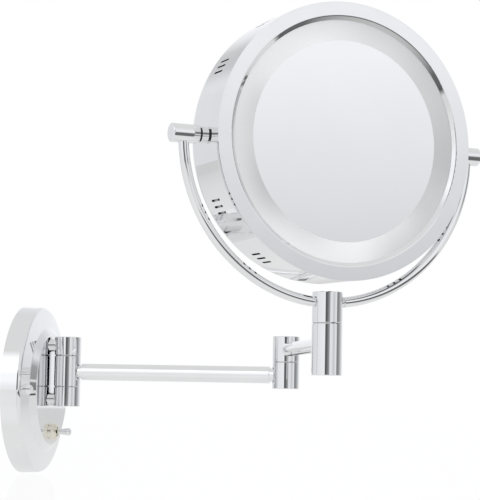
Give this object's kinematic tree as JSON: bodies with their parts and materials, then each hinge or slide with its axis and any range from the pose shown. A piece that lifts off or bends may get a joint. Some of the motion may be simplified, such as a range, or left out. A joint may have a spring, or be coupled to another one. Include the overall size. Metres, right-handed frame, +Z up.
{
  "type": "extendable shaving mirror",
  "caption": "Wall-mounted shaving mirror: a lighted two-sided round head in a yoke on a double swing arm, with a toggle switch on its round wall plate.",
  "frame": {"origin": "centre of the wall plate, on the plane of the wall", "axes": "+Z up, +Y into the wall, so the mirror stands out along -Y; +X to the right for someone facing the wall"},
  "size_m": [0.3509, 0.4146, 0.3778],
  "materials": {
    "chrome": "mirror-polished chrome plate",
    "nickel": "bright nickel plate, slightly warm",
    "zinc_steel": "zinc-plated steel",
    "spring_steel": "plain spring steel",
    "brass": "turned brass",
    "white_enamel": "gloss white reflector enamel",
    "black_plastic": "moulded black plastic",
    "white_plastic": "moulded heat-proof white plastic",
    "frosted_glass": "sandblasted glass, satin, faint green",
    "opal_glass": "opal lamp glass",
    "silvered_glass": "silvered plate glass",
    "wire_cover": "thin lead insulation"
  },
  "bodies": {
    "wall_mount": {"wall_cover": "chrome", "wall_strap": "zinc_steel", "cover_cap_nuts": "chrome", "backing_plate": "zinc_steel", "fork_nuts": "zinc_steel", "terminal_block": "white_plastic", "plate_wires": "wire_cover", "wall_knuckle_bottom": "chrome", "wall_knuckle_top": "chrome", "wall_knuckle_plugs": "chrome", "fork_studs": "chrome", "wall_pin": "brass", "wall_pin_nuts": "zinc_steel", "wall_seam_washers": "spring_steel", "switch_body": "black_plastic", "switch_bushing": "nickel", "switch_washer": "nickel", "switch_nuts": "nickel"},
    "toggle": {"toggle_lever": "chrome"},
    "arm_1": {"arm_1_wall_knuckle": "chrome", "arm_1_tube": "chrome", "arm_1_collars": "chrome", "arm_1_elbow_knuckle": "chrome", "elbow_bottom_plug": "chrome", "elbow_pin": "brass", "elbow_nuts": "zinc_steel", "elbow_washers": "spring_steel", "arm_1_wire": "wire_cover"},
    "arm_2": {"arm_2_elbow_knuckle": "chrome", "arm_2_tube": "chrome", "arm_2_collars": "chrome", "arm_2_head_knuckle": "chrome", "arm_2_plugs": "chrome", "head_pin": "brass", "head_nuts": "zinc_steel", "head_washers": "spring_steel", "arm_2_wire": "wire_cover"},
    "yoke": {"yoke_knuckle": "chrome", "yoke_tube_right": "chrome", "yoke_tube_left": "chrome", "yoke_collars": "chrome", "yoke_ends": "chrome", "yoke_plugs": "chrome", "pivot_washers": "black_plastic", "yoke_wire": "wire_cover"},
    "head": {"head_casing": "chrome", "front_bezel": "chrome", "front_mirror": "silvered_glass", "front_diffuser": "frosted_glass", "rear_diffuser": "frosted_glass", "rear_mirror": "silvered_glass", "reflector_plate": "white_enamel", "mirror_posts": "white_plastic", "trunnions": "chrome", "pivot_clips": "spring_steel", "trunnion_nuts": "zinc_steel", "lamp_bulbs": "opal_glass", "lamp_bases": "brass", "lamp_sockets": "white_plastic", "lamp_harness": "wire_cover"}
  },
  "joints": [
    {"name": "wall_swing", "type": "hinge", "parent": "wall_mount", "child": "arm_1", "pos_m": [0, -0.0393, 0.0167], "axis": [0, 0, 1], "range_deg": [-90, 90]},
    {"name": "elbow_swing", "type": "hinge", "parent": "arm_1", "child": "arm_2", "pos_m": [0, -0.2393, 0.028], "axis": [0, 0, -1], "range_deg": [-237.4, 92.6]},
    {"name": "head_swivel", "type": "hinge", "parent": "arm_2", "child": "yoke", "pos_m": [-0.19064, -0.29977, 0.0552], "axis": [0, 0, 1], "range_deg": [-170, 170]},
    {"name": "head_tilt", "type": "hinge", "parent": "yoke", "child": "head", "pos_m": [-0.19064, -0.29977, 0.1948], "axis": [0.5592, -0.829, 0], "range_deg": [-180, 180]},
    {"name": "switch_toggle", "type": "hinge", "parent": "wall_mount", "child": "toggle", "pos_m": [0, -0.0275, -0.0375], "axis": [0, 0, 1], "range_deg": [0, 26]}
  ]
}
